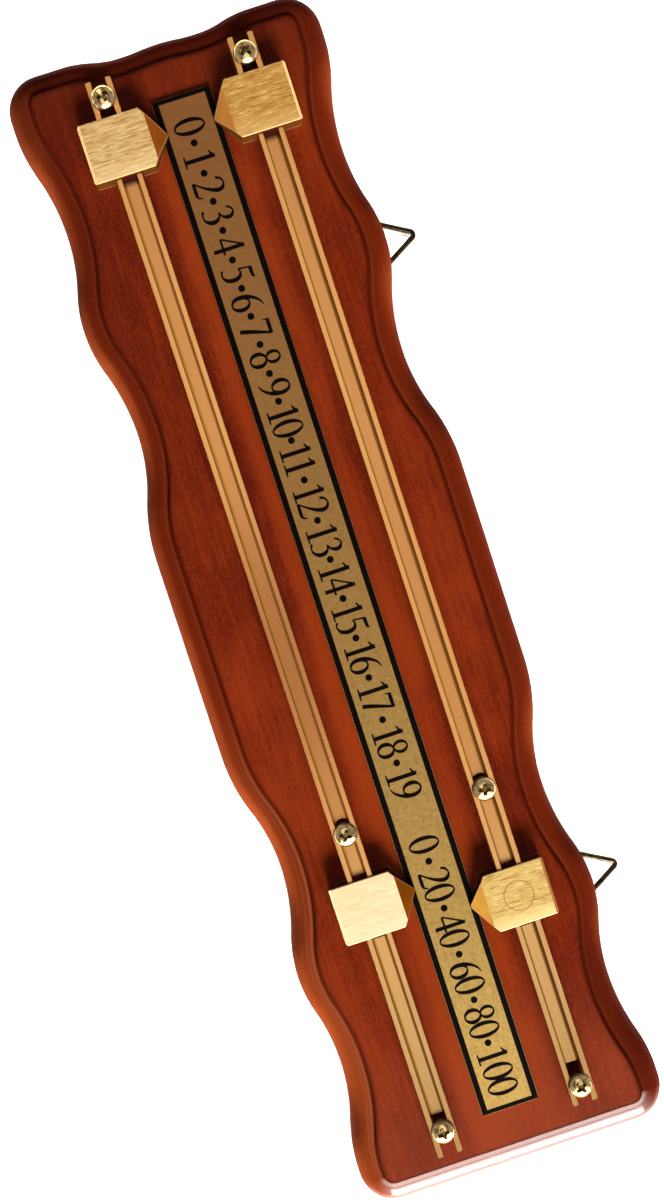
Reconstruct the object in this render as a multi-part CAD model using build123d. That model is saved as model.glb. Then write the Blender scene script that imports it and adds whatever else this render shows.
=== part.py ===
"""Wall-hung scoreboard for two billiard players, as separate pieces in millimetres.

A moulded wooden board carries a printed scale plate between two brass rails.  Each rail is a
C-section channel held by three pan-head screws, and two brass pointers slide along it: one
counts the single points, the other the twenties.  A pointer straddles its rail, and a runner
riveted under it is trapped below the rail's lips.  Two triangular rings in folded straps on the
back hang the board with its long side level.

The board lies on its back: +X runs along the scale from 0 to 100, +Y is up when it hangs, and
+Z comes out of the front.  The origin is the middle of the board's back face.
"""

import math
import os

from build123d import *

# Board: half widths at the crests and hollows of its outline, and the steps between them from the end;
# its length is taken as if both ends were shaped, and the plain right end stands back from that
BOARD_LENGTH = 400.0
PLAIN_END_INSET = 1.6
BOARD_THICKNESS = 15.0
EAR_HALF_WIDTH = 54.2
NECK_HALF_WIDTH = 48.4
BUMP_HALF_WIDTH = 53.2
WAIST_HALF_WIDTH = 46.9
MIDDLE_HALF_WIDTH = 54.3
END_TO_EAR = 16.0
EAR_TO_NECK = 37.0
NECK_TO_BUMP = 32.0
BUMP_TO_WAIST = 38.0
WAIST_TO_MIDDLE = 42.0
END_FLAT = 10.0
END_HOLLOW_HALF_SPAN = 13.0
END_HOLLOW_DEPTH = 2.6
END_MIDDLE_RISE = 0.7
EVEN_SHARE = 0.5
CREST_SHARE = 0.4
OVOLO_RADIUS = 6.4
FACE_STEP_WIDTH = 0.9
FACE_STEP_HEIGHT = 0.9
FACE_CORNER_RADIUS = 4.7
BACK_EDGE_CHAMFER = 0.6

# Scale plate
PLATE_END_MARGIN = 22.8
PLATE_WIDTH = 20.0
PLATE_THICKNESS = 0.8
PLATE_CORNER_RADIUS = 0.6

# Rails: the pair and the plate share one middle line, a little above the board's own
FITTINGS_OFFSET = 2.1
RAIL_SPACING = 48.3
RAIL_LEFT_MARGIN = 12.0
RAIL_RIGHT_MARGIN = 16.0
UPPER_RAIL_SHORTER_BY = 2.2
RAIL_WIDTH = 8.6
RAIL_HEIGHT = 4.8
RAIL_WALL = 1.0
RAIL_FLOOR = 1.0
LIP_THICKNESS = 1.0
SLOT_WIDTH = 5.0
LAND_WIDTH = 3.9
LAND_HEIGHT = 0.5
RAIL_EDGE_RADIUS = 0.25
RAIL_END_RADIUS = 0.6
NOTCH_BEYOND_SCREW = 4.6
MIDDLE_HOLE_LENGTH = 9.4
MIDDLE_HOLE_WIDTH = 6.4

# Rail screws
LEFT_SCREW_INSET = 6.3
RIGHT_SCREW_INSET = 8.6
MIDDLE_SCREW_FROM_RIGHT = 104.8
SCREW_HEAD_RADIUS = 4.0
SCREW_HEAD_HEIGHT = 2.9
SCREW_HEAD_RIM = 0.5
SCREW_SHANK_RADIUS = 2.1
SCREW_LENGTH = 16.0
SCREW_POINT_LENGTH = 3.0
DOME_FULLNESS = 0.71
RECESS_SPAN = 4.8
RECESS_ARM = 1.3
RECESS_DEPTH = 1.8
RECESS_TAPER = 9.0
RECESS_RUN_OUT = 0.3
WOOD_HOLE_CLEARANCE = 0.02

# Pointers: sizes across the rail are from its middle line, heights from the board's face
POINTER_LENGTH = 19.6
POINTER_BACK = 11.2
POINTER_SHOULDER = 9.5
POINTER_RIDGE = 10.8
TIP_OVER_PLATE = 2.2
ROOF_THICKNESS = 1.3
TIP_THICKNESS = 0.9
TIP_RADIUS = 1.4
POINTER_CORNER_RADIUS = 0.8
POINTER_EDGE_RADIUS = 0.35
BACK_BEVEL = 0.9
BOARD_CLEARANCE = 0.3
PLATE_CLEARANCE = 0.3
TIP_RELIEF_MARGIN = 1.0
SADDLE_CLEARANCE = 0.15

# Where the four pointers stand, from the screw on their left
POINTER_OFFSETS = {
    "lower_units": 16.3,
    "lower_twenties": 25.6,
    "upper_units": 16.1,
    "upper_twenties": 37.2,
}

# Runners and rivets under the pointers; a runner shows a little past both ends of its pointer
RUNNER_PROUD = 0.8
RUNNER_SIDE_CLEARANCE = 0.2
RUNNER_LAND_CLEARANCE = 0.25
RUNNER_LIP_CLEARANCE = 0.3
NECK_CLEARANCE = 0.15
RUNNER_CORNER_RADIUS = 1.2
RIVET_HEAD_RADIUS = 5.0
RIVET_HEAD_HEIGHT = 0.7
RIVET_SHANK_RADIUS = 1.6
RIVET_TAIL_RADIUS = 2.5
RIVET_TAIL_HEIGHT = 0.8

# Hangers: a ring, a folded strap and a screw behind each upper bump of the outline
RING_SIDE = 16.0
RING_WIRE_RADIUS = 0.9
RING_CORNER_RADIUS = 1.2
RING_SPLIT = 0.3
RING_INSET = 1.9
RING_CLEARANCE = 0.08
STRAP_SIDE_CLEARANCE = 0.7
STRAP_THICKNESS = 0.6
STRAP_FOLD_GAP = 0.1
STRAP_JOG_ANGLE = 30.0
STRAP_BEYOND_SCREW = 5.6
STRAP_END_FLAT = 1.0
STRAP_HOLE_CLEARANCE = 0.2
HANGER_SCREW_INSET = 9.4
HANGER_SCREW_HEAD_RADIUS = 3.4
HANGER_SCREW_HEAD_HEIGHT = 2.2
HANGER_SCREW_HEAD_RIM = 0.4
HANGER_SCREW_SHANK_RADIUS = 1.75
HANGER_SCREW_LENGTH = 10.0
HANGER_SCREW_POINT = 2.5
HANGER_RECESS_SPAN = 3.8

# Places along the board that follow from the sizes above
HALF_LENGTH = BOARD_LENGTH / 2
EAR_AT = HALF_LENGTH - END_TO_EAR
NECK_AT = EAR_AT - EAR_TO_NECK
BUMP_AT = NECK_AT - NECK_TO_BUMP
WAIST_AT = BUMP_AT - BUMP_TO_WAIST
MIDDLE_END = WAIST_AT - WAIST_TO_MIDDLE
PLAIN_END = HALF_LENGTH - PLAIN_END_INSET
MOULDING_WIDTH = OVOLO_RADIUS + FACE_STEP_WIDTH
CORNER_RADIUS = MOULDING_WIDTH + FACE_CORNER_RADIUS
RAIL_START = RAIL_LEFT_MARGIN - HALF_LENGTH
RAIL_END = HALF_LENGTH - RAIL_RIGHT_MARGIN
RIGHT_SCREW_AT = RAIL_END - RIGHT_SCREW_INSET
SCREW_STATIONS = {
    "left": RAIL_START + LEFT_SCREW_INSET,
    "middle": RIGHT_SCREW_AT - MIDDLE_SCREW_FROM_RIGHT,
    "right": RIGHT_SCREW_AT,
}
RAIL_ENDS = {
    "lower": RAIL_END,
    "upper": RAIL_END - UPPER_RAIL_SHORTER_BY,
}
RAIL_Y = {
    "lower": FITTINGS_OFFSET - RAIL_SPACING / 2,
    "upper": FITTINGS_OFFSET + RAIL_SPACING / 2,
}
PLATE_EDGE_FROM_RAIL = (RAIL_SPACING - PLATE_WIDTH) / 2

# Heights above the board's face inside a rail and under a pointer
FLOOR_DEPTH = RAIL_FLOOR + LAND_HEIGHT
SADDLE_DEPTH = RAIL_HEIGHT + SADDLE_CLEARANCE
POINTER_TOP = SADDLE_DEPTH + ROOF_THICKNESS
TIP_UNDERSIDE = PLATE_THICKNESS + PLATE_CLEARANCE
RUNNER_BOTTOM = FLOOR_DEPTH + RUNNER_LAND_CLEARANCE
RUNNER_FOOT_TOP = RAIL_HEIGHT - LIP_THICKNESS - RUNNER_LIP_CLEARANCE
CAVITY_WIDTH = RAIL_WIDTH - 2 * RAIL_WALL

# The hangers' places and sizes that follow
RING_BAR_Y = BUMP_HALF_WIDTH - RING_INSET
STRAP_INNER_RADIUS = RING_WIRE_RADIUS + RING_CLEARANCE
RING_BAR_DEPTH = STRAP_INNER_RADIUS + STRAP_THICKNESS
STRAP_STACK = 2 * STRAP_THICKNESS + STRAP_FOLD_GAP
STRAP_LENGTH = HANGER_SCREW_INSET + STRAP_BEYOND_SCREW
STRAP_WIDTH = RING_SIDE - 2 * (math.sqrt(3) * RING_CORNER_RADIUS + STRAP_SIDE_CLEARANCE)
HANGER_SIDES = {"left": -BUMP_AT, "right": BUMP_AT}


def ogee(crest, hollow, crest_share, run, rise):
    """Two tangent arcs from a crest down to a hollow, level at both ends."""
    gap = hollow - crest
    length = gap.dot(run)
    drop = -gap.dot(rise)
    both_radii = (length**2 + drop**2) / (2 * drop)
    crest_radius = crest_share * both_radii
    hollow_radius = both_radii - crest_radius
    turn = math.asin(length / both_radii)

    def bend(start, side, radius, angle):
        return start + side * (run * math.sin(angle) - rise * (1 - math.cos(angle))) * radius

    return [
        ThreePointArc(crest, bend(crest, 1, crest_radius, turn / 2), bend(crest, 1, crest_radius, turn)),
        ThreePointArc(
            bend(hollow, -1, hollow_radius, turn),
            bend(hollow, -1, hollow_radius, turn / 2),
            hollow,
        ),
    ]


def long_side(end_at):
    """A quarter of the outline, from the middle of a long side round the corner at the given end."""
    out = Vector(1, 0)
    up = Vector(0, 1)
    middle = Vector(MIDDLE_END, MIDDLE_HALF_WIDTH)
    waist = Vector(WAIST_AT, WAIST_HALF_WIDTH)
    bump = Vector(BUMP_AT, BUMP_HALF_WIDTH)
    neck = Vector(NECK_AT, NECK_HALF_WIDTH)
    ear = Vector(EAR_AT, EAR_HALF_WIDTH)
    corner_centre = Vector(end_at - CORNER_RADIUS, EAR_HALF_WIDTH - CORNER_RADIUS)
    corner_start = corner_centre + up * CORNER_RADIUS
    corner_mid = corner_centre + (up + out).normalized() * CORNER_RADIUS
    return [
        Line(Vector(0, MIDDLE_HALF_WIDTH), middle),
        *ogee(middle, waist, EVEN_SHARE, out, up),
        *ogee(bump, waist, CREST_SHARE, -out, up),
        *ogee(bump, neck, CREST_SHARE, out, up),
        *ogee(ear, neck, CREST_SHARE, -out, up),
        Line(ear, corner_start),
        ThreePointArc(corner_start, corner_mid, corner_centre + out * CORNER_RADIUS),
    ]


def shaped_end():
    """From a corner to the middle of a shaped end: a flat crest, a hollow and a low rise."""
    out = Vector(1, 0)
    up = Vector(0, 1)
    corner_end = Vector(HALF_LENGTH, EAR_HALF_WIDTH - CORNER_RADIUS)
    crest = corner_end - up * END_FLAT
    hollow = Vector(HALF_LENGTH - END_HOLLOW_DEPTH, END_HOLLOW_HALF_SPAN)
    middle = Vector(hollow.X + END_MIDDLE_RISE, 0)
    return [
        Line(corner_end, crest),
        *ogee(crest, hollow, EVEN_SHARE, -up, out),
        *ogee(middle, hollow, EVEN_SHARE, up, out),
    ]


def plain_end():
    """From a corner to the middle of a straight end."""
    return [Line(Vector(PLAIN_END, EAR_HALF_WIDTH - CORNER_RADIUS), Vector(PLAIN_END, 0))]


def four_quarters(quarter_edges):
    """The plan whose four quarters are alike."""
    quarter = Curve() + quarter_edges
    half = quarter + mirror(quarter, about=Plane.XZ).edges()
    whole = half + mirror(half, about=Plane.YZ).edges()
    return make_face(whole.edges())


def joined_halves(left_plan, right_plan):
    """The left half of one plan with the right half of another."""
    other_side = Pos(BOARD_LENGTH / 2, 0) * Rectangle(BOARD_LENGTH, BOARD_LENGTH)
    return (left_plan - other_side) + (right_plan - Rot(0, 0, 180) * other_side)


def shank(radius, length, point_length):
    """A pointed shank that hangs from the origin along -Z."""
    outline = Polyline((0, 0), (radius, 0), (radius, point_length - length), (0, -length), close=True)
    return revolve(make_face(Plane.XZ * outline), Axis.Z)


def pan_head_screw(head_radius, head_height, rim, shank_radius, length, point_length, recess_span):
    """A pan-head screw with a cross recess: the head's seat is at height 0 and its shank points down."""
    dome_mid = (head_radius * DOME_FULLNESS, rim + (head_height - rim) * DOME_FULLNESS)
    outline = [
        Line((0, -length), (shank_radius, point_length - length)),
        Line((shank_radius, point_length - length), (shank_radius, 0)),
        Line((shank_radius, 0), (head_radius, 0)),
        Line((head_radius, 0), (head_radius, rim)),
        ThreePointArc((head_radius, rim), dome_mid, (0, head_height)),
        Line((0, head_height), (0, -length)),
    ]
    screw = revolve(make_face(Plane.XZ * (Curve() + outline)), Axis.Z)
    arm = Rectangle(recess_span, RECESS_ARM)
    mouth = Pos(0, 0, head_height + RECESS_RUN_OUT) * (arm + Rot(0, 0, 90) * arm)
    recess = extrude(mouth, amount=RECESS_DEPTH + RECESS_RUN_OUT, dir=(0, 0, -1), taper=RECESS_TAPER)
    return screw - recess


def rail_screw():
    """One of the six screws whose heads bear on the rails' lips."""
    return pan_head_screw(
        SCREW_HEAD_RADIUS,
        SCREW_HEAD_HEIGHT,
        SCREW_HEAD_RIM,
        SCREW_SHANK_RADIUS,
        SCREW_LENGTH,
        SCREW_POINT_LENGTH,
        RECESS_SPAN,
    )


def hanger_screw():
    """The screw that holds one folded strap to the board's back."""
    return pan_head_screw(
        HANGER_SCREW_HEAD_RADIUS,
        HANGER_SCREW_HEAD_HEIGHT,
        HANGER_SCREW_HEAD_RIM,
        HANGER_SCREW_SHANK_RADIUS,
        HANGER_SCREW_LENGTH,
        HANGER_SCREW_POINT,
        HANGER_RECESS_SPAN,
    )


def rail_screw_places():
    """Each rail screw's name with the place of its seat on the lips."""
    places = {}
    for rail_name, rail_y in RAIL_Y.items():
        for station, screw_x in SCREW_STATIONS.items():
            places[f"{rail_name}_rail_screw_{station}"] = Pos(screw_x, rail_y, BOARD_THICKNESS + RAIL_HEIGHT)
    return places


def hanger_screw_places():
    """Each hanger screw's name with the place of its seat on the strap, head down."""
    places = {}
    for side, hanger_x in HANGER_SIDES.items():
        seat = Pos(hanger_x, RING_BAR_Y - HANGER_SCREW_INSET, -STRAP_STACK)
        places[f"{side}_hanger_screw"] = seat * Rot(180, 0, 0)
    return places


def board():
    """The moulded board: a quarter-round edge, a fine step, a flat front face and its screw holes."""
    plans = [
        four_quarters(long_side(HALF_LENGTH) + shaped_end()),
        four_quarters(long_side(PLAIN_END) + plain_end()),
    ]
    outline = joined_halves(*plans)
    shoulder = BOARD_THICKNESS - FACE_STEP_HEIGHT
    body = extrude(outline, amount=shoulder)
    body = fillet(body.faces().sort_by(Axis.Z)[-1].edges(), OVOLO_RADIUS)
    body = chamfer(body.faces().sort_by(Axis.Z)[0].edges(), BACK_EDGE_CHAMFER)
    raised = joined_halves(*[offset(plan, amount=-MOULDING_WIDTH, kind=Kind.INTERSECTION) for plan in plans])
    body = body + Pos(0, 0, shoulder) * extrude(raised, amount=FACE_STEP_HEIGHT)
    rail_hole = shank(
        SCREW_SHANK_RADIUS + WOOD_HOLE_CLEARANCE,
        SCREW_LENGTH + WOOD_HOLE_CLEARANCE,
        SCREW_POINT_LENGTH,
    )
    strap_hole = shank(
        HANGER_SCREW_SHANK_RADIUS + WOOD_HOLE_CLEARANCE,
        HANGER_SCREW_LENGTH + WOOD_HOLE_CLEARANCE,
        HANGER_SCREW_POINT,
    )
    holes = [place * rail_hole for place in rail_screw_places().values()]
    holes += [place * strap_hole for place in hanger_screw_places().values()]
    return body - holes


def scale_plate():
    """The thin plate that carries the numbers."""
    plan = RectangleRounded(BOARD_LENGTH - 2 * PLATE_END_MARGIN, PLATE_WIDTH, PLATE_CORNER_RADIUS)
    return Pos(0, FITTINGS_OFFSET, BOARD_THICKNESS) * extrude(plan, amount=PLATE_THICKNESS)


def rail_section():
    """The rail's C section with a raised land on its floor, its foot at height 0."""
    outer = Pos(0, RAIL_HEIGHT / 2) * Rectangle(RAIL_WIDTH, RAIL_HEIGHT)
    outer = fillet(outer.vertices().group_by(Axis.Y)[-1], RAIL_EDGE_RADIUS)
    above_floor = (Align.CENTER, Align.MIN)
    cavity = Rectangle(CAVITY_WIDTH, RAIL_HEIGHT - RAIL_FLOOR - LIP_THICKNESS, align=above_floor)
    slot = Rectangle(SLOT_WIDTH, RAIL_HEIGHT - RAIL_FLOOR, align=above_floor)
    land = Rectangle(LAND_WIDTH, LAND_HEIGHT, align=above_floor)
    section = outer - Pos(0, RAIL_FLOOR) * (cavity + slot) + Pos(0, RAIL_FLOOR) * land
    top_corners = section.vertices().group_by(Axis.Y)[-1]
    lip_corners = top_corners.sort_by(lambda corner: abs(corner.X))[:2]
    return fillet(lip_corners, RAIL_EDGE_RADIUS)


def rail(end_x, rail_y):
    """One channel, notched at both ends and pierced in its floor to clear the screws."""
    length = end_x - RAIL_START
    start_plane = Plane(origin=(RAIL_START, rail_y, BOARD_THICKNESS), x_dir=(0, 1, 0), z_dir=(1, 0, 0))
    bar = extrude(start_plane * rail_section(), amount=length)
    rounded_plan = RectangleRounded(length, RAIL_WIDTH, RAIL_END_RADIUS)
    plan_middle = Pos(RAIL_START + length / 2, rail_y, BOARD_THICKNESS)
    body = bar & plan_middle * extrude(rounded_plan, amount=RAIL_HEIGHT)
    floor_middle = BOARD_THICKNESS + FLOOR_DEPTH / 2
    notch_length = RIGHT_SCREW_INSET + NOTCH_BEYOND_SCREW
    notch = Box(2 * notch_length, CAVITY_WIDTH, FLOOR_DEPTH)
    hole = extrude(SlotOverall(MIDDLE_HOLE_LENGTH, MIDDLE_HOLE_WIDTH), amount=FLOOR_DEPTH)
    return body - [
        Pos(RAIL_START, rail_y, floor_middle) * notch,
        Pos(end_x, rail_y, floor_middle) * notch,
        Pos(SCREW_STATIONS["middle"], rail_y, BOARD_THICKNESS) * hole,
    ]


def pointer_block():
    """A pointer as it stands on the lower rail: the rail's middle line is along X, and its tip is at +Y."""
    half = POINTER_LENGTH / 2
    reach = PLATE_EDGE_FROM_RAIL + TIP_OVER_PLATE
    plan = Polygon(
        (-half, -POINTER_BACK),
        (half, -POINTER_BACK),
        (half, POINTER_SHOULDER),
        (0, reach),
        (-half, POINTER_SHOULDER),
        align=None,
    )
    plan = fillet(plan.vertices().sort_by(Axis.Y)[-1], TIP_RADIUS)
    plan = fillet(plan.vertices().sort_by(Axis.Y)[:4], POINTER_CORNER_RADIUS)
    body = Pos(0, 0, BOARD_CLEARANCE) * extrude(plan, amount=POINTER_TOP - BOARD_CLEARANCE)
    body = fillet(body.faces().sort_by(Axis.Z)[-1].edges(), POINTER_EDGE_RADIUS)
    tip = Vector(body.bounding_box().max.Y, TIP_UNDERSIDE + TIP_THICKNESS)
    above_slope = Polyline(
        (POINTER_RIDGE, POINTER_TOP),
        tip,
        tip + Vector(POINTER_TOP, 0),
        tip + Vector(POINTER_TOP, POINTER_TOP),
        (POINTER_RIDGE, tip.Y + POINTER_TOP),
        close=True,
    )
    behind_bevel = Polyline(
        (2 * BACK_BEVEL - POINTER_BACK, POINTER_TOP + BACK_BEVEL),
        (-BACK_BEVEL - POINTER_BACK, POINTER_TOP - 2 * BACK_BEVEL),
        (-BACK_BEVEL - POINTER_BACK, POINTER_TOP + BACK_BEVEL),
        close=True,
    )
    sections = [above_slope, behind_bevel]
    slopes = [extrude(make_face(Plane.YZ * outline), amount=POINTER_LENGTH, both=True) for outline in sections]
    on_board = (Align.CENTER, Align.MIN, Align.MIN)
    relief = Box(2 * POINTER_LENGTH, reach, TIP_UNDERSIDE, align=on_board)
    astride = (Align.CENTER, Align.CENTER, Align.MIN)
    saddle = Box(2 * POINTER_LENGTH, RAIL_WIDTH + 2 * SADDLE_CLEARANCE, SADDLE_DEPTH, align=astride)
    relief_place = Pos(0, PLATE_EDGE_FROM_RAIL - TIP_RELIEF_MARGIN, 0)
    return body - [*slopes, relief_place * relief, saddle, rivet()]


def rivet():
    """The rivet, with its head flush in the pointer's top and its tail spread in the runner's foot."""
    outline = Polyline(
        (0, RUNNER_BOTTOM),
        (RIVET_TAIL_RADIUS, RUNNER_BOTTOM),
        (RIVET_SHANK_RADIUS, RUNNER_BOTTOM + RIVET_TAIL_HEIGHT),
        (RIVET_SHANK_RADIUS, POINTER_TOP - RIVET_HEAD_HEIGHT),
        (RIVET_HEAD_RADIUS, POINTER_TOP - RIVET_HEAD_HEIGHT),
        (RIVET_HEAD_RADIUS, POINTER_TOP),
        (0, POINTER_TOP),
        close=True,
    )
    return revolve(make_face(Plane.XZ * outline), Axis.Z)


def runner():
    """The dark T-shaped runner that the rail's lips trap."""
    length = POINTER_LENGTH + 2 * RUNNER_PROUD
    foot_plan = RectangleRounded(length, CAVITY_WIDTH - 2 * RUNNER_SIDE_CLEARANCE, RUNNER_CORNER_RADIUS)
    foot = Pos(0, 0, RUNNER_BOTTOM) * extrude(foot_plan, amount=RUNNER_FOOT_TOP - RUNNER_BOTTOM)
    neck_plan = Rectangle(length, SLOT_WIDTH - 2 * NECK_CLEARANCE)
    neck = Pos(0, 0, RUNNER_FOOT_TOP) * extrude(neck_plan, amount=SADDLE_DEPTH - RUNNER_FOOT_TOP)
    return foot + neck - rivet()


def pointer_place(name):
    """Where a pointer stands, turned so that its tip points to the scale."""
    rail_name, scale_name = name.split("_")
    screw_before = {"units": "left", "twenties": "middle"}[scale_name]
    place_x = SCREW_STATIONS[screw_before] + POINTER_OFFSETS[name]
    place = Pos(place_x, RAIL_Y[rail_name], BOARD_THICKNESS)
    return place * Rot(0, 0, 180) if rail_name == "upper" else place


def strap_outline(radius, top, bottom):
    """One side of the folded strip, in section: a flat top, a bend round the bar and a slanted return."""
    slant = math.radians(STRAP_JOG_ANGLE)
    leave = Vector(-math.sin(slant), -math.cos(slant)) * radius
    meet = Vector(leave.X - (bottom - leave.Y) / math.tan(slant), bottom)
    sides = [
        Line((-STRAP_LENGTH, top), (0, top)),
        ThreePointArc((0, top), (radius, 0), leave),
        Line(leave, meet),
        Line(meet, (-STRAP_LENGTH, bottom)),
        Line((-STRAP_LENGTH, bottom), (-STRAP_LENGTH, top)),
    ]
    return make_face(Curve() + sides)


def hanger_strap():
    """The strip folded round the ring's bar, which lies along X at the origin, with a hole for its screw."""
    back = RING_BAR_DEPTH
    outside = strap_outline(RING_BAR_DEPTH, back, back - STRAP_STACK)
    inside = strap_outline(STRAP_INNER_RADIUS, STRAP_INNER_RADIUS, STRAP_INNER_RADIUS - STRAP_FOLD_GAP)
    side_plane = Plane(origin=(-STRAP_WIDTH / 2, 0, 0), x_dir=(0, 1, 0), z_dir=(1, 0, 0))
    strap = extrude(side_plane * (outside - inside), amount=STRAP_WIDTH)
    corners = strap.edges().filter_by(Axis.Z).group_by(Axis.Y)[0]
    strap = fillet(corners, (STRAP_WIDTH - STRAP_END_FLAT) / 2)
    hole = Cylinder(HANGER_SCREW_SHANK_RADIUS + STRAP_HOLE_CLEARANCE, 4 * STRAP_STACK)
    return strap - Pos(0, -HANGER_SCREW_INSET, back) * hole


def hanger_ring():
    """The triangular wire ring: its bar lies along X at the origin and its apex points to +Y."""
    half = RING_SIDE / 2
    bar_end = RING_SPLIT / 2
    path = FilletPolyline(
        (bar_end, 0),
        (half, 0),
        (0, half * math.sqrt(3)),
        (-half, 0),
        (-bar_end, 0),
        radius=RING_CORNER_RADIUS,
    )
    start_plane = Plane(origin=(bar_end, 0, 0), z_dir=(1, 0, 0))
    return sweep(start_plane * Circle(RING_WIRE_RADIUS), path=path)


def build_parts():
    """Every piece by its name, in its place."""
    parts = {
        "board": board(),
        "scale_plate": scale_plate(),
    }
    for rail_name, rail_y in RAIL_Y.items():
        parts[f"{rail_name}_rail"] = rail(RAIL_ENDS[rail_name], rail_y)
    for name, place in rail_screw_places().items():
        parts[name] = place * rail_screw()
    for name in POINTER_OFFSETS:
        place = pointer_place(name)
        parts[f"{name}_pointer"] = place * pointer_block()
        parts[f"{name}_runner"] = place * runner()
        parts[f"{name}_rivet"] = place * rivet()
    for side, hanger_x in HANGER_SIDES.items():
        bar = Pos(hanger_x, RING_BAR_Y, -RING_BAR_DEPTH)
        parts[f"{side}_hanger_strap"] = bar * hanger_strap()
        parts[f"{side}_hanger_ring"] = bar * hanger_ring()
    for name, place in hanger_screw_places().items():
        parts[name] = place * hanger_screw()
    return parts


def main():
    """Write one file for each piece."""
    os.makedirs("parts", exist_ok=True)
    for name, part in build_parts().items():
        part.label = name
        export_step(part, f"parts/{name}.step")


main()
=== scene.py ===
"""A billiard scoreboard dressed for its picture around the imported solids.

The wooden board gets a finely sampled moulding, the plate its black print, and the screws their
cross recesses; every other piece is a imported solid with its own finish.  Sizes are in millimetres
in the fields below and become metres in the meshes.  The board lies on its back: +X runs along the
scale, +Y is the side of the hangers and +Z comes out of the front.
"""

import logging
import math
from dataclasses import dataclass, field
from enum import Enum
from typing import Callable, Iterable, Optional, Sequence, Union

import bmesh
import bpy
from mathutils import Matrix, Vector


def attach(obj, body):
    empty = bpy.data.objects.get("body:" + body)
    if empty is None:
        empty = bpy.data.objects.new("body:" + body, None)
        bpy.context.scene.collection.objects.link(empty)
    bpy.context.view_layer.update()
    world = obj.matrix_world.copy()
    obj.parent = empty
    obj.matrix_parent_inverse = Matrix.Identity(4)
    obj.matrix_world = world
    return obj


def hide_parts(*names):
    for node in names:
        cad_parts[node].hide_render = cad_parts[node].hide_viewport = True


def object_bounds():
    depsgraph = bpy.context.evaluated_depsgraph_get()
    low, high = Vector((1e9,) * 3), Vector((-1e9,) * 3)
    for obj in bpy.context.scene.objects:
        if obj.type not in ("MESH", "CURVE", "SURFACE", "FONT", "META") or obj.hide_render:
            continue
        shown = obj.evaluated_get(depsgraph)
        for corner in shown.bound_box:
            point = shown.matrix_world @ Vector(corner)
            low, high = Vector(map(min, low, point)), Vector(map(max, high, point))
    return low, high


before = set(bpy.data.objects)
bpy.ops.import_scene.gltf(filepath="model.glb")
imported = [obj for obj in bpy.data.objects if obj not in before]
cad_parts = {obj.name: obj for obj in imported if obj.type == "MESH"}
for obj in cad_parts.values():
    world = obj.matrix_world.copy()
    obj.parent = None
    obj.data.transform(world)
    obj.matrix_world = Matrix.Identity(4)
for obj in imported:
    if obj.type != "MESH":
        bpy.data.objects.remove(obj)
cad_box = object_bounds()

MM = 0.001
ROOT = "scoreboard"
BOARD_TOP = 15.0
PLATE_TOP = 15.8
POINTER_TOP = 21.25
RAIL_Y = {"lower": -22.05, "upper": 26.25}
RAILS = ("lower_rail", "upper_rail")
POINTER_X = {
    "lower_units": -165.4,
    "lower_twenties": 96.2,
    "upper_units": -165.6,
    "upper_twenties": 107.8,
}

log = logging.getLogger("scoreboard")

Colour = tuple[float, float, float]
Point = tuple[float, float, float]


def shade(red: int, green: int, blue: int) -> Colour:
    """Turn a colour as a screen shows it into the linear one that shaders take.

    Args:
        red: Red from 0 to 255.
        green: Green from 0 to 255.
        blue: Blue from 0 to 255.

    Returns:
        The linear colour.
    """
    def linear(level: int) -> float:
        part = level / 255
        return part / 12.92 if part <= 0.04045 else ((part + 0.055) / 1.055) ** 2.4

    return (linear(red), linear(green), linear(blue))


# Node trees


class Signal:
    """A node's output that takes part in arithmetic."""

    def __init__(self, bench: "Bench", socket: bpy.types.NodeSocket) -> None:
        """Keep the bench that makes nodes and the socket it stands for."""
        self.bench = bench
        self.socket = socket

    def output(self, name: str) -> "Signal":
        """Return another output of the same node by its name."""
        return Signal(self.bench, self.socket.node.outputs[name])

    def _math(self, operation: str, first: "Number", second: "Number") -> "Signal":
        """Add a Math node and return its result."""
        return self.bench.node("ShaderNodeMath", {"operation": operation}, {0: first, 1: second})

    def __add__(self, other: "Number") -> "Signal":
        """Add."""
        return self._math("ADD", self, other)

    def __radd__(self, other: "Number") -> "Signal":
        """Add to a number on the left."""
        return self._math("ADD", other, self)

    def __sub__(self, other: "Number") -> "Signal":
        """Subtract."""
        return self._math("SUBTRACT", self, other)

    def __rsub__(self, other: "Number") -> "Signal":
        """Subtract from a number on the left."""
        return self._math("SUBTRACT", other, self)

    def __mul__(self, other: "Number") -> "Signal":
        """Multiply."""
        return self._math("MULTIPLY", self, other)

    def __rmul__(self, other: "Number") -> "Signal":
        """Multiply a number on the left."""
        return self._math("MULTIPLY", other, self)

    def __truediv__(self, other: "Number") -> "Signal":
        """Divide."""
        return self._math("DIVIDE", self, other)

    def __pow__(self, other: "Number") -> "Signal":
        """Raise to a power."""
        return self._math("POWER", self, other)

    def __abs__(self) -> "Signal":
        """Take the size without its sign."""
        return self._math("ABSOLUTE", self, 0.0)

    def least(self, other: "Number") -> "Signal":
        """Take the smaller of the two."""
        return self._math("MINIMUM", self, other)

    def between(self, low: float, high: float) -> "Signal":
        """Rise smoothly from 0 at low to 1 at high; falls where low is above high."""
        if low > high:
            return 1 - self.between(high, low)
        return self.bench.node(
            "ShaderNodeMapRange",
            {"interpolation_type": "SMOOTHSTEP"},
            {"Value": self, "From Min": low, "From Max": high},
        )


Number = Union[Signal, float, int]


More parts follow.
